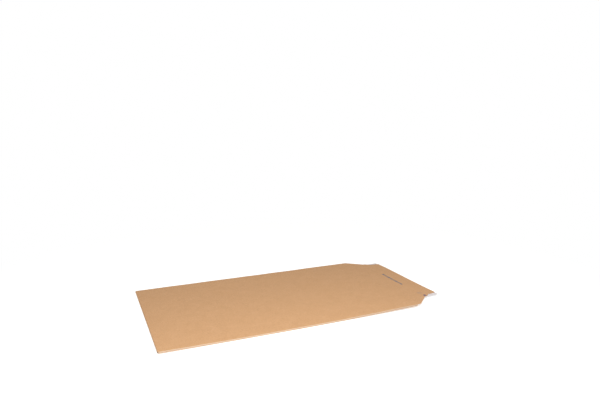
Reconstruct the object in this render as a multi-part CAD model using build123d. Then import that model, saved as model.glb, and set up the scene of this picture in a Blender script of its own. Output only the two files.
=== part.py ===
# Flat-folded kraft paper mailing bag with side gussets and a peel-and-seal flap.
# Millimetres. +X runs from the closed bottom to the flap, +Y across the bag, +Z up.
# The bag lies on its back panel. The origin is the middle of its outline, on the ground.
import os
from build123d import *

# Outline of the flat bag
bag_width = 250.0
bag_length = 400.0
flap_length = 54.0

# Paper and folds
paper = 0.22
side_fold_height = 1.15
gusset_slit = 0.3
gusset_depth = 25.0

# Sides of the flap, from the score line out: a slanted cheek, a short shoulder, a second slant to the
# waist, then a side that leans in to the tip. Each has its run along the bag and its step inwards
cheek_run = 25.5
cheek_step = 25.0
shoulder_run = 4.5
shoulder_step = 1.0
waist_run = 8.0
waist_step = 7.5
tip_step = 2.0
tip_radius = 3.0
score_width = 0.8
score_depth = 0.06

# Mouth, lap seam of the back panel, and the tongue that closes the bottom
mouth_setback = 6.0
seam_lap = 22.0
tongue_length = 30.0
tongue_root_inset = 3.0
tongue_end_inset = 14.0
glue_margin = 1.5
seam_gap = 0.4
leaf_end_clearance = 0.3

# Adhesive and release liner under the flap
liner_width = 22.0
liner_thickness = 0.12
liner_edge_margin = 1.0
liner_length = 196.0
adhesive_width = 17.0
adhesive_thickness = 0.15
adhesive_side_margin = 3.0

# Places that follow from the sizes above
total_length = bag_length + flap_length
total_height = 2 * side_fold_height + gusset_slit
bottom_x = -total_length / 2
score_x = bottom_x + bag_length
flap_edge_x = score_x + flap_length
side_y = bag_width / 2
side_fold_radius = side_fold_height / 2
end_fold_radius = total_height / 2
end_fold_x = bottom_x + end_fold_radius
mouth_x = score_x - mouth_setback
flat_side_y = side_y - side_fold_radius
front_z = total_height - paper
lower_leaf_z = side_fold_height - paper
upper_leaf_z = side_fold_height + gusset_slit
crease_radius = gusset_slit / 2 + paper
crease_y = side_y - gusset_depth + crease_radius


def slab(x_from, x_to, y_from, y_to, z_from, thickness=paper):
    """A flat stretch of sheet, given by its limits and the height of its lower face."""
    size = (x_to - x_from, y_to - y_from, thickness)
    middle = ((x_from + x_to) / 2, (y_from + y_to) / 2, z_from + thickness / 2)
    return Pos(*middle) * Box(*size)


def half_ring(radius, keep_side):
    """Section of a sheet folded back on itself: half a ring, on the +1 or -1 side of its centre."""
    ring = Circle(radius) - Circle(radius - paper)
    return ring & (Pos(keep_side * radius / 2, 0) * Rectangle(radius, 2 * radius))


def strip(y_from, y_to, z_from):
    """Section of a flat stretch of sheet, one paper thickness high."""
    return Pos((y_from + y_to) / 2, z_from + paper / 2) * Rectangle(y_to - y_from, paper)


def side_section():
    """Section of one long side: front edge fold, two gusset leaves with their crease, back edge fold."""
    top_fold = Pos(flat_side_y, total_height - side_fold_radius) * half_ring(side_fold_radius, 1)
    low_fold = Pos(flat_side_y, side_fold_radius) * half_ring(side_fold_radius, 1)
    crease = Pos(crease_y, total_height / 2) * half_ring(crease_radius, -1)
    upper_leaf = strip(crease_y, flat_side_y, upper_leaf_z)
    lower_leaf = strip(crease_y, flat_side_y, lower_leaf_z)
    return top_fold + low_fold + crease + upper_leaf + lower_leaf


def folded_tube():
    """The tube of the bag from the bottom fold to the mouth, in one section."""
    side = side_section()
    front = strip(-flat_side_y, flat_side_y, front_z)
    back = strip(-flat_side_y, flat_side_y, 0)
    section = front + back + side + mirror(side, about=Plane.YZ)
    tube = extrude(Plane.YZ * section, amount=mouth_x - end_fold_x)
    return Pos(end_fold_x, 0, 0) * tube


def leaf_ends():
    """What is trimmed off the gusset leaves so that they stop inside the bottom fold."""
    leaves_height = total_height - 2 * lower_leaf_z
    cut = slab(end_fold_x, end_fold_x + leaf_end_clearance, crease_y - crease_radius, flat_side_y,
               lower_leaf_z, leaves_height)
    return cut + mirror(cut, about=Plane.XZ)


def bottom_fold():
    """The front panel turned down round the closed end."""
    ring = half_ring(end_fold_radius, -1)
    wrap = extrude(Plane.XZ * ring, amount=flat_side_y, both=True)
    return Pos(end_fold_x, 0, total_height / 2) * wrap


def tongue_outline(root_x, margin):
    """Outline of the tongue on the underside from root_x on, let out by a margin at its free edges."""
    end_x = bottom_x + tongue_length + margin
    root_y = side_y - tongue_root_inset + margin
    end_y = side_y - tongue_end_inset + margin
    corners = [(root_x, -root_y), (end_x, -end_y), (end_x, end_y), (root_x, root_y)]
    return make_face(Polyline(*corners, close=True))


def tongue_edge():
    """Gap between the tongue's free edges and the back panel beside them."""
    gap_start_x = end_fold_x + glue_margin
    return extrude(tongue_outline(gap_start_x, seam_gap) - tongue_outline(gap_start_x, 0), amount=paper)


def tongue_backing():
    """Back panel where it steps up and over the tongue that is glued under it."""
    sheet = extrude(tongue_outline(end_fold_x, seam_gap + glue_margin), amount=paper)
    return Pos(0, 0, paper) * sheet


def seam_backing():
    """Inner layer of the back panel's lap seam, glued over the outer one."""
    return slab(end_fold_x, mouth_x, -seam_lap / 2 - seam_gap - glue_margin, seam_lap / 2, paper)


def seam_edge():
    """Gap beside the raw edge of the lap seam on the underside."""
    return slab(bottom_x + tongue_length, mouth_x, -seam_lap / 2 - seam_gap, -seam_lap / 2, 0)


def flap_corners():
    """Corners of one side of the flap, as distances past the score line and insets from the bag's side."""
    past, inset = 0, 0
    corners = [(past, side_fold_radius)]
    for run, step in ((cheek_run, cheek_step), (shoulder_run, shoulder_step), (waist_run, waist_step)):
        past += run
        inset += step
        corners.append((past, inset))
    corners.append((flap_length, inset + tip_step))
    return corners


def flap():
    """Front panel past the mouth: the strip up to the score line, then the flap with its cut sides."""
    near = [(score_x + past, inset - side_y) for past, inset in flap_corners()]
    far = [(x, -y) for x, y in reversed(near)]
    sheet = make_face(Polyline(*near, *far, close=True))
    tips = sheet.vertices().group_by(Axis.X)[-1]
    sheet = fillet(tips, tip_radius)
    lip = slab(mouth_x, score_x, -flat_side_y, flat_side_y, front_z)
    return lip + Pos(0, 0, front_z) * extrude(sheet, amount=paper)


def score_line():
    """Groove pressed into the outer face where the flap folds."""
    return slab(score_x - score_width / 2, score_x + score_width / 2, -side_y, side_y,
                total_height - score_depth, score_depth)


def paper_bag():
    bag = folded_tube() - leaf_ends()
    bag += bottom_fold()
    bag += tongue_backing()
    bag += seam_backing()
    bag += flap()
    bag -= tongue_edge()
    bag -= seam_edge()
    bag -= score_line()
    return bag


def flap_inset(past):
    """How far the flap's side stands in between waist and tip, at a distance past the score line."""
    waist, tip = flap_corners()[-2:]
    lean = (tip[1] - waist[1]) / (tip[0] - waist[0])
    return waist[1] + (past - waist[0]) * lean


def adhesive_strip():
    """Band of adhesive along the flap, in the middle of the liner and clear of the slanted sides."""
    middle = flap_length - liner_edge_margin - liner_width / 2
    far_edge = middle + adhesive_width / 2
    half_length = side_y - flap_inset(far_edge) - adhesive_side_margin
    centre_x = score_x + middle
    return slab(centre_x - adhesive_width / 2, centre_x + adhesive_width / 2,
                -half_length, half_length, front_z - adhesive_thickness, adhesive_thickness)


def release_liner():
    """Strip of release paper over the adhesive, its ends standing out past the flap's sides."""
    outer_x = flap_edge_x - liner_edge_margin
    return slab(outer_x - liner_width, outer_x, -liner_length / 2, liner_length / 2,
                front_z - adhesive_thickness - liner_thickness, liner_thickness)


nodes = {
    "paper_bag": paper_bag(),
    "adhesive_strip": adhesive_strip(),
    "release_liner": release_liner(),
}

os.makedirs("parts", exist_ok=True)
for name, shape in nodes.items():
    export_step(shape, f"parts/{name}.step")
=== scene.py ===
import math

import bpy
import numpy as np
from mathutils import Matrix, Vector, noise


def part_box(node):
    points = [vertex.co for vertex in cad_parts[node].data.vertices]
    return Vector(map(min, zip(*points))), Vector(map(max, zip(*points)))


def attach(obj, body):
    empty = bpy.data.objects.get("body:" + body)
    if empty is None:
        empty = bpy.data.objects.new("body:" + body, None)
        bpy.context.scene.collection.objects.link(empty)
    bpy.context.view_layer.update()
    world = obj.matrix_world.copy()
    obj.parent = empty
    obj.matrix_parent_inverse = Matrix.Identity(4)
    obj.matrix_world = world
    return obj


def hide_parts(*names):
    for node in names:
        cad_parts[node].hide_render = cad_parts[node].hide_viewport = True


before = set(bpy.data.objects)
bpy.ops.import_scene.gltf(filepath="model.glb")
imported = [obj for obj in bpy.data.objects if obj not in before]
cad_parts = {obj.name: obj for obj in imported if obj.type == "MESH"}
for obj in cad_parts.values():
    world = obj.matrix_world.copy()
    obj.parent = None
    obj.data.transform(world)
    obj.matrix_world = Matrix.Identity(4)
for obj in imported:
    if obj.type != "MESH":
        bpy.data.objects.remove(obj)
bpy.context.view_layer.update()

MM = 0.001

# Sizes of the folded sheet, in metres, as in the part's source
PAPER = 0.22 * MM
SIDE_FOLD_HEIGHT = 1.15 * MM
GUSSET_SLIT = 0.3 * MM
GUSSET_DEPTH = 25 * MM
BAG_LENGTH = 400 * MM
MOUTH_SETBACK = 6 * MM
SEAM_LAP = 22 * MM
TONGUE_LENGTH = 30 * MM
TONGUE_ROOT_INSET = 3 * MM
TONGUE_END_INSET = 14 * MM

# Sides of the flap, from the score line out. The first three each run along the bag and step inwards
CHEEK = (25.5 * MM, 25 * MM)
SHOULDER = (4.5 * MM, 1 * MM)
WAIST = (8 * MM, 7.5 * MM)
TIP_STEP = 2 * MM
TIP_RADIUS = 3 * MM

# Where a layer steps up over a glued one: the air left between the two, and the run of the step
LAYER_CLEARANCE = 0.03 * MM
JOGGLE = 2.5 * MM

# Places read from the frame
bag_low, bag_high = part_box("paper_bag")
liner_low, liner_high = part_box("release_liner")
glue_low, glue_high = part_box("adhesive_strip")
HEIGHT = bag_high.z
SIDE_Y = bag_high.y
BOTTOM_X = bag_low.x
FLAP_EDGE_X = bag_high.x
SCORE_X = BOTTOM_X + BAG_LENGTH
MOUTH_X = SCORE_X - MOUTH_SETBACK
END_FOLD_X = BOTTOM_X + HEIGHT / 2
SIDE_FOLD_RADIUS = SIDE_FOLD_HEIGHT / 2
FLAT_Y = SIDE_Y - SIDE_FOLD_RADIUS
CREASE_RADIUS = GUSSET_SLIT / 2 + PAPER / 2
CREASE_Y = SIDE_Y - GUSSET_DEPTH + CREASE_RADIUS + PAPER / 2

# How finely the sheets are meshed
FRONT_STEPS = 84
BACK_STEPS = 30
LEAF_STEPS = 8
FOLD_STEPS = 8
LAP_STEPS = 13
LENGTH_STEP = 3.4 * MM
WRAP_STEPS = 10
TONGUE_STEPS = 8
TIP_ANGLES = (22, 45, 67, 90)
STRIP_STEPS_ALONG = 8
LINER_STEPS_ACROSS = 90
GLUE_STEPS_ACROSS = 80
SHARP_ANGLE = 45

# How the sheet departs from flat. It springs up towards both ends, most at the mouth's near corner, and
# lies lowest at a share of its length. The flap's edge has its own lift at the near and the far side
LOWEST_SHARE = 0.45
BOTTOM_LIFT = 1.2 * MM
MOUTH_LIFT = 3.5 * MM
FLAP_EDGE_LIFT = (2.8 * MM, 1.5 * MM)

# The folded stack is a little thinner than the solids at the bottom, and a little thicker at the mouth
BOTTOM_THICKNESS = 0.97
MOUTH_THICKNESS = 1.03

# Slack in the front panel, none in the back one: height, length and seed of broad and short waves, the
# share of the broad ones left at the side folds, and how far from the bottom fold the slack is in full
BROAD_WAVE = 0.4 * MM
BROAD_WAVE_LENGTH = 110 * MM
BROAD_WAVE_SEED = 1.7
SHORT_WAVE = 0.12 * MM
SHORT_WAVE_LENGTH = 38 * MM
SHORT_WAVE_SEED = 5.2
WAVE_SHARE_AT_SIDES = 0.3
SLACK_RUN_IN = 40 * MM

# The groove at the score line, and the droop of the liner's free ends
SCORE_DEPTH = 0.07 * MM
SCORE_HALF_WIDTH = 0.5 * MM
PLAIN_AFTER_SCORE = 3 * MM
LINER_DROOP = 0.3 * MM
LINER_FREE_END = 10 * MM


def smoothstep(t):
    t = np.clip(t, 0.0, 1.0)
    return t * t * (3 - 2 * t)


def wave(points, length, seed):
    """Smooth noise between about -1 and 1, with bumps of the given length, at each point's x and y."""
    flat = points.reshape(-1, points.shape[-1])
    found = [noise.noise(Vector((p[0] / length, p[1] / length, seed))) for p in flat]
    return 2 * np.array(found).reshape(points.shape[:-1])


def lift(x, y):
    """How far the bag has sprung up off the ground at a place."""
    lowest = BOTTOM_X + LOWEST_SHARE * BAG_LENGTH
    near = 0.5 - y / (2 * SIDE_Y)
    to_bottom = np.clip((lowest - x) / (lowest - BOTTOM_X), 0, 1)
    to_mouth = np.clip((x - lowest) / (SCORE_X - lowest), 0, 1)
    body = near * (BOTTOM_LIFT * to_bottom ** 2 + MOUTH_LIFT * to_mouth ** 2)
    past = np.clip((x - SCORE_X) / (FLAP_EDGE_X - SCORE_X), 0, 1)
    near_edge, far_edge = FLAP_EDGE_LIFT
    edge = near_edge * near + far_edge * (1 - near)
    return body * (1 - past) + edge * past


def settle(points):
    """Moves points of the flat form to where the real sheet lies: front slack, ends sprung up."""
    x, y, z = points[..., 0], points[..., 1], points[..., 2]
    along = smoothstep((x - BOTTOM_X) / BAG_LENGTH)
    thickness = BOTTOM_THICKNESS + (MOUTH_THICKNESS - BOTTOM_THICKNESS) * along
    inner = smoothstep((SIDE_Y - np.abs(y)) / (2 * GUSSET_DEPTH))
    ends = smoothstep((x - BOTTOM_X) / SLACK_RUN_IN)
    upper = smoothstep((z - 3 * PAPER) / (HEIGHT - 6 * PAPER))
    share = WAVE_SHARE_AT_SIDES + (1 - WAVE_SHARE_AT_SIDES) * inner
    slack = BROAD_WAVE * share * wave(points, BROAD_WAVE_LENGTH, BROAD_WAVE_SEED)
    slack = slack + SHORT_WAVE * wave(points, SHORT_WAVE_LENGTH, SHORT_WAVE_SEED)
    moved = points.copy()
    moved[..., 2] = z * thickness + upper * ends * slack + lift(x, y)
    return moved


def arc(centre_y, centre_z, radius, start, stop, steps):
    """Points of an arc in the section, from one angle to another, both ends included."""
    angles = np.radians(np.linspace(start, stop, steps + 1))
    return [(centre_y + radius * math.cos(a), centre_z + radius * math.sin(a)) for a in angles]


def line(y_from, y_to, z, steps):
    """Points of a flat stretch in the section, without its two ends."""
    return [(y, z) for y in np.linspace(y_from, y_to, steps + 1)[1:-1]]


def side_layers():
    """Right side of the section, from the back panel to the front: fold, leaf, crease, leaf, fold."""
    fold_radius = SIDE_FOLD_RADIUS - PAPER / 2
    low_z = SIDE_FOLD_RADIUS
    top_z = HEIGHT - SIDE_FOLD_RADIUS
    points = arc(FLAT_Y, low_z, fold_radius, -90, 90, FOLD_STEPS)
    points += line(FLAT_Y, CREASE_Y, low_z + fold_radius, LEAF_STEPS)
    points += arc(CREASE_Y, HEIGHT / 2, CREASE_RADIUS, 270, 90, FOLD_STEPS)
    points += line(CREASE_Y, FLAT_Y, top_z - fold_radius, LEAF_STEPS)
    points += arc(FLAT_Y, top_z, fold_radius, -90, 90, FOLD_STEPS)
    return points


def section():
    """The sheet's middle line across the bag, as an open strip from raw edge to raw edge.

    With it come the share of a layer that each point is lifted where the sheet laps over itself, and
    the first and last point of the front panel."""
    half_lap = SEAM_LAP / 2
    points = [(-half_lap, PAPER / 2)] + line(-half_lap, FLAT_Y, PAPER / 2, BACK_STEPS)
    right = side_layers()
    points += right
    front_start = len(points) - 1
    points += line(FLAT_Y, -FLAT_Y, HEIGHT - PAPER / 2, FRONT_STEPS)
    front_stop = len(points)
    points += [(-y, z) for y, z in reversed(right)]
    lifted = [0.0] * len(points)
    points += line(-FLAT_Y, -half_lap - JOGGLE, PAPER / 2, BACK_STEPS)
    points += [(-half_lap - JOGGLE, PAPER / 2)]
    lifted += [0.0] * (len(points) - len(lifted))
    for y in np.linspace(-half_lap - JOGGLE, half_lap, LAP_STEPS + 1)[1:]:
        points.append((y, PAPER / 2))
        lifted.append(float(smoothstep((y + half_lap + JOGGLE) / (JOGGLE - LAYER_CLEARANCE))))
    return np.array(points), np.array(lifted), front_start, front_stop


def tongue_half_width(x):
    """Half the tongue's width at a place along the bag."""
    share = np.clip((x - END_FOLD_X) / (TONGUE_LENGTH - (END_FOLD_X - BOTTOM_X)), 0, 1)
    return SIDE_Y - TONGUE_ROOT_INSET - share * (TONGUE_END_INSET - TONGUE_ROOT_INSET)


def over_tongue(x, y):
    """1 where the back panel lies on the tongue, 0 beyond it, with a step down over the joggle."""
    past_end = smoothstep((x - BOTTOM_X - TONGUE_LENGTH) / JOGGLE)
    past_side = smoothstep((abs(y) - tongue_half_width(x)) / JOGGLE)
    return (1 - past_end) * (1 - past_side)


def tube_rows():
    """Rows of points along the tube, from the bottom fold to the mouth."""
    strip, lifted, front_start, front_stop = section()
    count = int((MOUTH_X - END_FOLD_X) / LENGTH_STEP)
    stations = list(np.linspace(END_FOLD_X, MOUTH_X, count + 1))
    tongue_end = BOTTOM_X + TONGUE_LENGTH
    stations += [tongue_end, tongue_end + JOGGLE / 2, tongue_end + JOGGLE]
    rows = []
    on_back = (strip[:, 1] < PAPER) & (np.abs(strip[:, 0]) < FLAT_Y)
    step_up = PAPER + LAYER_CLEARANCE
    for x in sorted(stations):
        row = np.empty((len(strip), 3))
        row[:, 0] = x
        row[:, 1] = strip[:, 0]
        row[:, 2] = strip[:, 1] + lifted * step_up
        tongue = np.array([over_tongue(x, y) for y in strip[:, 0]])
        row[:, 2] += np.where(on_back, tongue * step_up, 0)
        rows.append(row)
    return np.array(rows), front_start, front_stop


def flap_corners():
    """Corners of one side of the flap: distances past the score line and half widths there."""
    past, half_width = 0, FLAT_Y
    corners = [(past, half_width)]
    half_width = SIDE_Y
    for run, step in (CHEEK, SHOULDER, WAIST):
        past += run
        half_width -= step
        corners.append((past, half_width))
    corners.append((FLAP_EDGE_X - SCORE_X, half_width - TIP_STEP))
    return corners


def flap_half_width(x):
    """Half the flap's width at a place past the score line, with its rounded tips."""
    past = x - SCORE_X
    runs, widths = zip(*flap_corners())
    width = float(np.interp(past, runs, widths))
    into_tip = past - (runs[-1] - TIP_RADIUS)
    if into_tip > 0:
        width -= TIP_RADIUS - math.sqrt(max(TIP_RADIUS ** 2 - into_tip ** 2, 0))
    return width


def straight_row(columns, x, half_width, z):
    """A level row of points across the bag, from its far side to its near side."""
    row = np.empty((columns, 3))
    row[:, 0] = x
    row[:, 1] = np.linspace(1, -1, columns) * half_width
    row[:, 2] = z
    return row


def flap_rows(columns):
    """Rows of points on the front panel past the mouth, out to the flap's edge."""
    score = [SCORE_X - SCORE_HALF_WIDTH, SCORE_X, SCORE_X + SCORE_HALF_WIDTH]
    stops = [SCORE_X + past for past, _ in flap_corners()]
    stops[0] += PLAIN_AFTER_SCORE
    stops[-1] -= TIP_RADIUS
    sides = [stops[0]]
    for start, stop in zip(stops, stops[1:]):
        count = max(int((stop - start) / LENGTH_STEP), 1)
        sides += list(np.linspace(start, stop, count + 1)[1:])
    tips = [FLAP_EDGE_X - TIP_RADIUS * (1 - math.sin(a)) for a in np.radians(TIP_ANGLES)]
    rows = []
    for x in [*score, *sides, *tips]:
        groove = SCORE_DEPTH if x == SCORE_X else 0
        rows.append(straight_row(columns, x, flap_half_width(x), HEIGHT - PAPER / 2 - groove))
    return rows


def wrap_rows(columns):
    """Rows of points from the front panel round the bottom fold and out along the tongue."""
    radius = HEIGHT / 2 - PAPER / 2
    rows = []
    for a in np.radians(np.linspace(90, 270, WRAP_STEPS + 1)[1:]):
        share = smoothstep((a - math.pi / 2) / math.pi)
        half_width = FLAT_Y + (tongue_half_width(END_FOLD_X) - FLAT_Y) * share
        x = END_FOLD_X + radius * math.cos(a)
        rows.append(straight_row(columns, x, half_width, HEIGHT / 2 + radius * math.sin(a)))
    for x in np.linspace(END_FOLD_X, BOTTOM_X + TONGUE_LENGTH, TONGUE_STEPS + 1)[1:]:
        rows.append(straight_row(columns, x, tongue_half_width(x), PAPER / 2))
    return rows


class Sheet:
    """Points and faces of one sheet, gathered row by row."""

    def __init__(self):
        self.points = []
        self.faces = []

    def add_row(self, row):
        start = len(self.points)
        self.points.extend(row)
        return list(range(start, start + len(row)))

    def join(self, first, second):
        for j in range(len(first) - 1):
            self.faces.append((first[j], first[j + 1], second[j + 1], second[j]))

    def to_object(self, name):
        mesh = bpy.data.meshes.new(name)
        points = settle(np.array(self.points))
        mesh.from_pydata([tuple(p) for p in points], [], self.faces)
        mesh.update()
        piece = bpy.data.objects.new(name, mesh)
        bpy.context.scene.collection.objects.link(piece)
        return piece


def thicken(piece, thickness, rim_material=0):
    """Gives the sheet its thickness, half on each side, and smooth shading apart from its cut edges."""
    solid = piece.modifiers.new("thickness", "SOLIDIFY")
    solid.thickness = thickness
    solid.offset = 0
    solid.use_even_offset = True
    solid.material_offset_rim = rim_material
    depsgraph = bpy.context.evaluated_depsgraph_get()
    mesh = bpy.data.meshes.new_from_object(piece.evaluated_get(depsgraph))
    piece.modifiers.clear()
    piece.data = mesh
    mesh.shade_smooth()
    mesh.set_sharp_from_angle(angle=math.radians(SHARP_ANGLE))
    return piece


def folded_bag():
    """The whole bag as one folded sheet."""
    sheet = Sheet()
    tube, front_start, front_stop = tube_rows()
    rows = [sheet.add_row(row) for row in tube]
    for first, second in zip(rows, rows[1:]):
        sheet.join(first, second)
    front = slice(front_start, front_stop + 1)
    columns = front_stop + 1 - front_start
    last = rows[-1][front]
    for row in flap_rows(columns):
        new = sheet.add_row(row)
        sheet.join(last, new)
        last = new
    last = rows[0][front]
    for row in wrap_rows(columns):
        new = sheet.add_row(row)
        sheet.join(new, last)
        last = new
    return sheet.to_object("folded_bag")


def flat_strip(name, low, high, steps_across, droop=0):
    """A strip of sheet that fills a box of the frame. Its two ends can droop a little."""
    sheet = Sheet()
    rows = []
    for x in np.linspace(low.x, high.x, STRIP_STEPS_ALONG + 1):
        row = np.empty((steps_across + 1, 3))
        row[:, 0] = x
        row[:, 1] = np.linspace(low.y, high.y, steps_across + 1)
        into_end = np.clip((np.abs(row[:, 1]) - (high.y - LINER_FREE_END)) / LINER_FREE_END, 0, None)
        row[:, 2] = (low.z + high.z) / 2 - droop * into_end ** 2
        rows.append(sheet.add_row(row))
    for first, second in zip(rows, rows[1:]):
        sheet.join(first, second)
    return thicken(sheet.to_object(name), high.z - low.z)


# From here on, the materials. Their sizes are in millimetres, on the piece's own coordinates
def new_material(name):
    material = bpy.data.materials.new(name)
    material.use_nodes = True
    tree = material.node_tree
    shader = tree.nodes["Principled BSDF"]
    return material, tree, shader


def add_node(tree, kind, inputs=None, **settings):
    node = tree.nodes.new(kind)
    for key, value in settings.items():
        setattr(node, key, value)
    for key, value in (inputs or {}).items():
        if isinstance(value, bpy.types.NodeSocket):
            tree.links.new(value, node.inputs[key])
        else:
            node.inputs[key].default_value = value
    return node


def math_node(tree, operation, *values, clamp=False):
    node = add_node(tree, "ShaderNodeMath", dict(enumerate(values)), operation=operation, use_clamp=clamp)
    return node.outputs[0]


def millimetres(tree):
    """The piece's own coordinates in millimetres, which are the frame's."""
    coordinates = add_node(tree, "ShaderNodeTexCoord").outputs["Object"]
    scaled = add_node(tree, "ShaderNodeVectorMath", {0: coordinates, "Scale": 1000.0}, operation="SCALE")
    return scaled.outputs[0]


def noise_value(tree, place, bump_length, detail, roughness):
    """Noise with features of about the given length in millimetres, from 0 to 1."""
    inputs = {"Vector": place, "Scale": 1.0 / bump_length, "Detail": detail, "Roughness": roughness}
    return add_node(tree, "ShaderNodeTexNoise", inputs).outputs["Fac"]


def fibres(tree, place, turn, length, width, low, high):
    """Sparse streaks along one direction, as the fibres of the sheet: 0 between them, 1 on them."""
    turned = add_node(tree, "ShaderNodeMapping",
                      {"Vector": place, "Rotation": (0, 0, math.radians(turn)),
                       "Scale": (length, width, width)}, vector_type="TEXTURE")
    streak = add_node(tree, "ShaderNodeTexNoise",
                      {"Vector": turned.outputs[0], "Scale": 1.0, "Detail": 1.0, "Roughness": 0.4,
                       "Distortion": 0.3})
    return between(tree, streak.outputs["Fac"], low, high)


def largest(tree, values):
    """The largest of some values."""
    result = values[0]
    for value in values[1:]:
        result = math_node(tree, "MAXIMUM", result, value)
    return result


def between(tree, value, low, high):
    """How far a value has come from low to high, from 0 to 1."""
    return add_node(tree, "ShaderNodeMapRange", {0: value, 1: low, 2: high}).outputs[0]


def spread(tree, value, results, values=(0.0, 1.0)):
    """Carries a value in one range over to another range."""
    ranges = {0: value, 1: values[0], 2: values[1], 3: results[0], 4: results[1]}
    return add_node(tree, "ShaderNodeMapRange", ranges).outputs[0]


def split(tree, vector):
    """The x, y and z of a vector."""
    return add_node(tree, "ShaderNodeSeparateXYZ", {0: vector}).outputs


def mix_colour(tree, factor, first, second):
    node = add_node(tree, "ShaderNodeMix", {"Factor": factor, 6: first, 7: second}, data_type="RGBA")
    return node.outputs[2]


def srgb(red, green, blue):
    """A colour written as it looks on a screen, 0 to 255, as the shader's linear values."""
    def linear(value):
        share = value / 255
        return share / 12.92 if share <= 0.04045 else ((share + 0.055) / 1.055) ** 2.4
    return (linear(red), linear(green), linear(blue), 1.0)


# The kraft paper's colours
KRAFT = srgb(220, 171, 124)
KRAFT_DARK = srgb(198, 148, 102)
KRAFT_LIGHT = srgb(236, 191, 147)
FIBRE_DARK = srgb(156, 110, 72)
FIBRE_LIGHT = srgb(236, 202, 164)
# Colour of the paler side folds: partly the fold's wear, partly painted highlight standing in for sheen
# on the folds
FOLD_CREST_WEAR_AND_SHEEN = srgb(222, 200, 176)

# Its unevenness: length of the bumps in millimetres, detail, roughness, and share in the shade
CLOUD = (14.0, 2.0, 0.5)
CLOUD_SHARE = 0.12
MOTTLE = (1.6, 4.0, 0.65)
MOTTLE_SHARE = 0.55
GRAIN = (0.35, 2.0, 0.6)
GRAIN_SHARE = 0.38

# Where the dark, plain and light colours lie along that shade, which varies about the middle one
DARK_STOP = 0.3
PLAIN_STOP = 0.53
LIGHT_STOP = 0.78

# Sets of fibres: direction in degrees, length and width in millimetres, and the noise values at which a
# fibre starts and is full. Then how strongly they colour the sheet
DARK_FIBRES = ((12, 3.2, 0.16, 0.66, 0.72), (-38, 2.4, 0.14, 0.67, 0.73))
LIGHT_FIBRES = ((64, 2.8, 0.16, 0.64, 0.7), (-8, 4.0, 0.18, 0.64, 0.71))
DARK_FIBRE_STRENGTH = 0.4
LIGHT_FIBRE_STRENGTH = 0.35


def kraft_colour(tree, place):
    """Machine-finished brown kraft: cloudy formation, fine grain, dark and light fibres.

    With the colour come its mottle, its grain and its fibres, for the gloss, the print and the relief."""
    cloud = noise_value(tree, place, *CLOUD)
    mottle = noise_value(tree, place, *MOTTLE)
    grain = noise_value(tree, place, *GRAIN)
    shade = math_node(tree, "MULTIPLY", cloud, CLOUD_SHARE)
    shade = math_node(tree, "MULTIPLY_ADD", mottle, MOTTLE_SHARE, shade)
    shade = math_node(tree, "MULTIPLY_ADD", grain, GRAIN_SHARE, shade)
    colour = add_node(tree, "ShaderNodeValToRGB", {0: shade})
    ramp = colour.color_ramp
    ramp.elements[0].position = DARK_STOP
    ramp.elements[0].color = KRAFT_DARK
    ramp.elements[1].position = LIGHT_STOP
    ramp.elements[1].color = KRAFT_LIGHT
    middle = ramp.elements.new(PLAIN_STOP)
    middle.color = KRAFT
    result = colour.outputs[0]
    dark = largest(tree, [fibres(tree, place, *kind) for kind in DARK_FIBRES])
    light = largest(tree, [fibres(tree, place, *kind) for kind in LIGHT_FIBRES])
    darkened = math_node(tree, "MULTIPLY", dark, DARK_FIBRE_STRENGTH)
    result = mix_colour(tree, darkened, result, FIBRE_DARK)
    lightened = math_node(tree, "MULTIPLY", light, LIGHT_FIBRE_STRENGTH)
    result = mix_colour(tree, lightened, result, FIBRE_LIGHT)
    return result, mottle, grain, math_node(tree, "SUBTRACT", light, dark)


# The print on the flap, in millimetres: a broken line, a register mark and a smudge
DASH_LENGTHS = (7.5, 4.0, 9.5, 3.0, 6.0, 10.0, 4.5, 8.0)
DASH_GAP = 1.6
LINE_PAST_SCORE = 27.0
LINE_MIDDLE_Y = -1.3
LINE_HALF_WIDTH = 1.8
MARK_PAST_SCORE = 29.0
MARK_Y = -94.3
MARK_HALF_SIZE = (2.2, 2.6)
SMUDGE_PAST_SCORE = 28.0
SMUDGE_Y = -81.5
SMUDGE_RADIUS = 6.0

# Its inks, and how strongly they cover the paper. The line's cover varies with the grain
LINE_INK = srgb(104, 112, 130)
LINE_LEAST_COVER = 0.6
MARK_INK = srgb(44, 48, 112)
MARK_STRENGTH = 0.85
SMUDGE_INK = srgb(104, 112, 140)
SMUDGE_STRENGTH = 0.22


def within(tree, value, centre, reach):
    """1 where a value is within reach of a centre, 0 elsewhere."""
    away = math_node(tree, "ABSOLUTE", math_node(tree, "SUBTRACT", value, centre))
    return math_node(tree, "LESS_THAN", away, reach)


def box_mask(tree, x, y, centre_x, centre_y, half_x, half_y):
    """1 inside a rectangle of the sheet's plane, 0 outside it."""
    in_x = within(tree, x, centre_x, half_x)
    in_y = within(tree, y, centre_y, half_y)
    return math_node(tree, "MULTIPLY", in_x, in_y)


def soft_spot(tree, x, y, centre_x, centre_y, radius):
    """1 in the middle of a small round spot, fading to 0 at its rim."""
    off_x = math_node(tree, "SUBTRACT", x, centre_x)
    off_y = math_node(tree, "SUBTRACT", y, centre_y)
    squares = math_node(tree, "MULTIPLY_ADD", off_x, off_x, math_node(tree, "MULTIPLY", off_y, off_y))
    return between(tree, squares, radius ** 2, 0.0)


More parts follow.
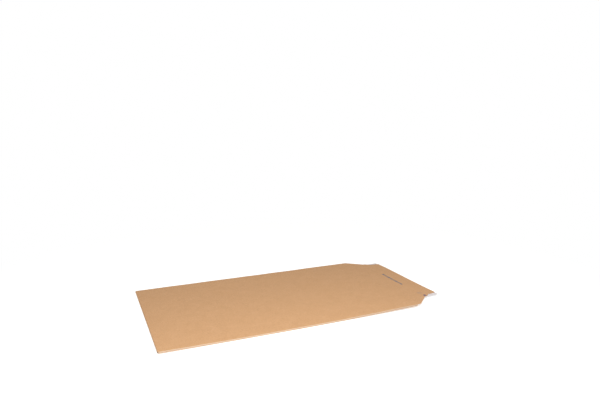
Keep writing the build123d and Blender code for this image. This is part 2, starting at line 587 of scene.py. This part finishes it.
def print_masks(tree, place):
    """The broken line, the register mark and the smudge: 1 where they are, on the flap's outer face."""
    x, y, _ = split(tree, place)
    score_x = SCORE_X / MM
    line_x = score_x + LINE_PAST_SCORE
    start = LINE_MIDDLE_Y - (sum(DASH_LENGTHS) + DASH_GAP * (len(DASH_LENGTHS) - 1)) / 2
    dashes = []
    for length in DASH_LENGTHS:
        middle_y = start + length / 2
        dashes.append(box_mask(tree, x, y, line_x, middle_y, LINE_HALF_WIDTH, length / 2))
        start += length + DASH_GAP
    mark = box_mask(tree, x, y, score_x + MARK_PAST_SCORE, MARK_Y, *MARK_HALF_SIZE)
    smudge = soft_spot(tree, x, y, score_x + SMUDGE_PAST_SCORE, SMUDGE_Y, SMUDGE_RADIUS)
    normal = add_node(tree, "ShaderNodeTexCoord").outputs["Normal"]
    outer = math_node(tree, "GREATER_THAN", split(tree, normal)[2], 0.5)
    return [math_node(tree, "MULTIPLY", mask, outer) for mask in (largest(tree, dashes), mark, smudge)]


# The pale crest of the side folds, partly the paler bent fibres of the fold and partly painted highlight
# for the sheen of the lamp and the white floor on it: distances in from the bag's side at which it ends
# and is full
CREST_END = 0.55
CREST_FULL = 0.25
CREST_STRENGTH = 0.9

# The kraft's gloss, and what its mottle, grain and fibres add to its relief
MOTTLE_RANGE = (0.3, 0.7)
KRAFT_ROUGHNESS = (0.62, 0.8)
KRAFT_SPECULAR = 0.35
MOTTLE_RELIEF = 0.8
GRAIN_RELIEF = 0.5
FIBRE_RELIEF = 0.35

# The other surfaces: the two colours that each varies between, its unevenness, written as the kraft's is,
# and the liner's gloss
CUT_EDGE_COLOURS = (srgb(222, 184, 146), srgb(240, 212, 180))
CUT_EDGE_FUZZ = (0.18, 3.0, 0.7)
LINER_COLOURS = (srgb(226, 218, 222), srgb(238, 231, 232))
LINER_CLOUD = (6.0, 3.0, 0.5)
LINER_GRAIN = (0.4, 2.0, 0.5)
LINER_ROUGHNESS = (0.32, 0.45)
GLUE_COLOURS = (srgb(226, 206, 160), srgb(238, 224, 186))
GLUE_STREAK = (3.0, 3.0, 0.6)


def fold_crest_wear_and_sheen(tree, place):
    """1 along the outer side folds, paler from bent fibres and from painted highlight, and 0 elsewhere.
    """
    y = math_node(tree, "ABSOLUTE", split(tree, place)[1])
    side = SIDE_Y / MM
    return between(tree, y, side - CREST_END, side - CREST_FULL)


def relief(tree, shader, height, strength, depth):
    """Gives a surface the fine relief of a height that varies over it, up to a depth in millimetres."""
    inputs = {"Height": height, "Strength": strength, "Distance": depth * MM}
    bump = add_node(tree, "ShaderNodeBump", inputs)
    tree.links.new(bump.outputs[0], shader.inputs["Normal"])


def kraft_material():
    material, tree, shader = new_material("kraft_paper")
    place = millimetres(tree)
    colour, mottle, grain, threads = kraft_colour(tree, place)
    # The side folds are painted paler: fibre wear and painted highlight
    crest_wear_and_sheen = math_node(tree, "MULTIPLY", fold_crest_wear_and_sheen(tree, place), CREST_STRENGTH)
    colour = mix_colour(tree, crest_wear_and_sheen, colour, FOLD_CREST_WEAR_AND_SHEEN)
    ink, mark, smudge = print_masks(tree, place)
    cover = math_node(tree, "MULTIPLY_ADD", grain, 1 - LINE_LEAST_COVER, LINE_LEAST_COVER, clamp=True)
    colour = mix_colour(tree, math_node(tree, "MULTIPLY", ink, cover), colour, LINE_INK)
    colour = mix_colour(tree, math_node(tree, "MULTIPLY", mark, MARK_STRENGTH), colour, MARK_INK)
    colour = mix_colour(tree, math_node(tree, "MULTIPLY", smudge, SMUDGE_STRENGTH), colour, SMUDGE_INK)
    tree.links.new(colour, shader.inputs["Base Color"])
    rough = spread(tree, mottle, KRAFT_ROUGHNESS, MOTTLE_RANGE)
    tree.links.new(rough, shader.inputs["Roughness"])
    shader.inputs["Specular IOR Level"].default_value = KRAFT_SPECULAR
    height = math_node(tree, "MULTIPLY", mottle, MOTTLE_RELIEF)
    height = math_node(tree, "MULTIPLY_ADD", grain, GRAIN_RELIEF, height)
    height = math_node(tree, "MULTIPLY_ADD", threads, FIBRE_RELIEF, height)
    relief(tree, shader, height, strength=0.35, depth=0.12)
    return material


def cut_edge_material():
    """The cut edge of the sheet, paler and rougher than its face."""
    material, tree, shader = new_material("kraft_cut_edge")
    place = millimetres(tree)
    fuzz = noise_value(tree, place, *CUT_EDGE_FUZZ)
    colour = mix_colour(tree, fuzz, *CUT_EDGE_COLOURS)
    tree.links.new(colour, shader.inputs["Base Color"])
    shader.inputs["Roughness"].default_value = 0.9
    relief(tree, shader, fuzz, strength=0.4, depth=0.1)
    return material


def liner_material():
    """White silicone-coated release paper with a faint warm pink cast."""
    material, tree, shader = new_material("release_paper")
    place = millimetres(tree)
    cloud = noise_value(tree, place, *LINER_CLOUD)
    grain = noise_value(tree, place, *LINER_GRAIN)
    colour = mix_colour(tree, cloud, *LINER_COLOURS)
    tree.links.new(colour, shader.inputs["Base Color"])
    rough = spread(tree, grain, LINER_ROUGHNESS)
    tree.links.new(rough, shader.inputs["Roughness"])
    shader.inputs["Coat Weight"].default_value = 0.25
    shader.inputs["Coat Roughness"].default_value = 0.3
    relief(tree, shader, grain, strength=0.15, depth=0.08)
    return material


def glue_material():
    """Clear, slightly amber adhesive film."""
    material, tree, shader = new_material("adhesive_film")
    place = millimetres(tree)
    streak = noise_value(tree, place, *GLUE_STREAK)
    colour = mix_colour(tree, streak, *GLUE_COLOURS)
    tree.links.new(colour, shader.inputs["Base Color"])
    shader.inputs["Roughness"].default_value = 0.25
    shader.inputs["Specular IOR Level"].default_value = 0.6
    relief(tree, shader, streak, strength=0.3, depth=0.1)
    return material


# The ground and the world. Both are white where they are seen, in the picture or in a gloss. To the
# light that falls on the object the floor is pale and the world is dimmer and a little warm. The floor's
# shadow fades to plain white between two distances from the middle
WHITE = (1, 1, 1, 1)
FLOOR_GREY = (0.8, 0.8, 0.8, 1)
FLOOR_REACH = 12.0
FLOOR_DROP = 0.02 * MM
FLOOR_GLOW = 0.54
SHADOW_REACH = (0.3, 0.6)
WORLD_STRENGTH = 0.362
WORLD_TINT = (1.0, 0.965, 0.9, 1)


def seen_rays(tree):
    """1 for the rays that show a surface: the camera's, and those of gloss and of clear materials."""
    path = add_node(tree, "ShaderNodeLightPath").outputs
    return largest(tree, [path["Is Camera Ray"], path["Is Glossy Ray"], path["Is Transmission Ray"]])


def white_floor_material():
    """White where it is seen, with the object's shadow kept, and a plain pale floor to other light."""
    material = bpy.data.materials.new("white_floor")
    material.use_nodes = True
    tree = material.node_tree
    tree.nodes.clear()
    out = add_node(tree, "ShaderNodeOutputMaterial")
    pale = add_node(tree, "ShaderNodeBsdfDiffuse", {"Color": FLOOR_GREY})
    shaded = add_node(tree, "ShaderNodeBsdfDiffuse", {"Color": WHITE})
    glow = add_node(tree, "ShaderNodeEmission", {"Color": WHITE, "Strength": FLOOR_GLOW})
    near_object = add_node(tree, "ShaderNodeAddShader", {0: shaded.outputs[0], 1: glow.outputs[0]})
    white = add_node(tree, "ShaderNodeEmission", {"Color": WHITE, "Strength": 1.0})
    position = add_node(tree, "ShaderNodeNewGeometry").outputs["Position"]
    distance = add_node(tree, "ShaderNodeVectorMath", {0: position}, operation="LENGTH").outputs["Value"]
    far = between(tree, distance, *SHADOW_REACH)
    layers = {0: far, 1: near_object.outputs[0], 2: white.outputs[0]}
    shown = add_node(tree, "ShaderNodeMixShader", layers)
    rays = seen_rays(tree)
    final = add_node(tree, "ShaderNodeMixShader", {0: rays, 1: pale.outputs[0], 2: shown.outputs[0]})
    tree.links.new(final.outputs[0], out.inputs["Surface"])
    return material


def make_floor():
    mesh = bpy.data.meshes.new("floor")
    reach = FLOOR_REACH
    corners = [(-reach, -reach, 0), (reach, -reach, 0), (reach, reach, 0), (-reach, reach, 0)]
    mesh.from_pydata(corners, [], [(0, 1, 2, 3)])
    floor = bpy.data.objects.new("floor", mesh)
    floor.location.z = -FLOOR_DROP
    bpy.context.scene.collection.objects.link(floor)
    mesh.materials.append(white_floor_material())


def make_world():
    world = bpy.data.worlds.new("studio")
    bpy.context.scene.world = world
    world.use_nodes = True
    tree = world.node_tree
    tree.nodes.clear()
    out = add_node(tree, "ShaderNodeOutputWorld")
    rays = seen_rays(tree)
    strength = spread(tree, rays, (WORLD_STRENGTH, 1.0))
    tint = mix_colour(tree, rays, WORLD_TINT, WHITE)
    background = add_node(tree, "ShaderNodeBackground", {"Color": tint, "Strength": strength})
    tree.links.new(background.outputs[0], out.inputs["Surface"])


# The lamp, which points at the middle of the object
LAMP_PLACE = (-0.14, -0.62, 0.5)
LAMP_SIZE = 0.45
LAMP_POWER = 5.1


def make_lamp():
    """One broad lamp on the camera's side, so that the near edges are the brightest."""
    light = bpy.data.lights.new("front_softbox", "AREA")
    light.shape = "DISK"
    light.size = LAMP_SIZE
    light.energy = LAMP_POWER
    lamp = bpy.data.objects.new("front_softbox", light)
    lamp.location = LAMP_PLACE
    lamp.visible_camera = False
    lamp.rotation_euler = Vector(LAMP_PLACE).to_track_quat("Z", "Y").to_euler()
    bpy.context.scene.collection.objects.link(lamp)


# The photograph's camera, worked out from the bag's edges. The heading is turned from +X, the pitch is
# downwards, both in degrees, and the lens is in millimetres on a 36 mm sensor
CAMERA_PLACE = (-0.30614, -0.7663, 0.30618)
CAMERA_HEADING = 66.79
CAMERA_PITCH = 9.926
CAMERA_ROLL = -0.194
CAMERA_LENS = 31.65
SENSOR_WIDTH = 36.0


def make_camera():
    heading = math.radians(CAMERA_HEADING)
    pitch = math.radians(CAMERA_PITCH)
    level_forward = Vector((math.cos(heading), math.sin(heading), 0))
    level_right = Vector((math.sin(heading), -math.cos(heading), 0))
    forward = level_forward * math.cos(pitch) - Vector((0, 0, math.sin(pitch)))
    level_up = level_right.cross(forward)
    roll = math.radians(CAMERA_ROLL)
    right = level_right * math.cos(roll) + level_up * math.sin(roll)
    up = right.cross(forward)
    turn = Matrix((right, up, -forward)).transposed().to_4x4()
    data = bpy.data.cameras.new("camera")
    data.lens = CAMERA_LENS
    data.sensor_width = SENSOR_WIDTH
    data.clip_start = 0.01
    data.clip_end = 50.0
    camera = bpy.data.objects.new("camera", data)
    camera.matrix_world = Matrix.Translation(CAMERA_PLACE) @ turn
    bpy.context.scene.collection.objects.link(camera)
    bpy.context.scene.camera = camera


def dress():
    bag = folded_bag()
    bag.data.materials.append(kraft_material())
    bag.data.materials.append(cut_edge_material())
    thicken(bag, PAPER, rim_material=1)
    liner = flat_strip("peel_liner", liner_low, liner_high, LINER_STEPS_ACROSS, LINER_DROOP)
    liner.data.materials.append(liner_material())
    glue = flat_strip("glue_band", glue_low, glue_high, GLUE_STEPS_ACROSS)
    glue.data.materials.append(glue_material())
    rows = [(bag, "paper_bag", "kraft_paper"), (liner, "release_liner", "release_paper"),
            (glue, "adhesive_strip", "adhesive")]
    for piece, node, slot in rows:
        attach(piece, "root")
        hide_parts(node)


dress()
make_floor()
make_world()
make_lamp()
make_camera()
bpy.context.scene.view_settings.view_transform = "Standard"
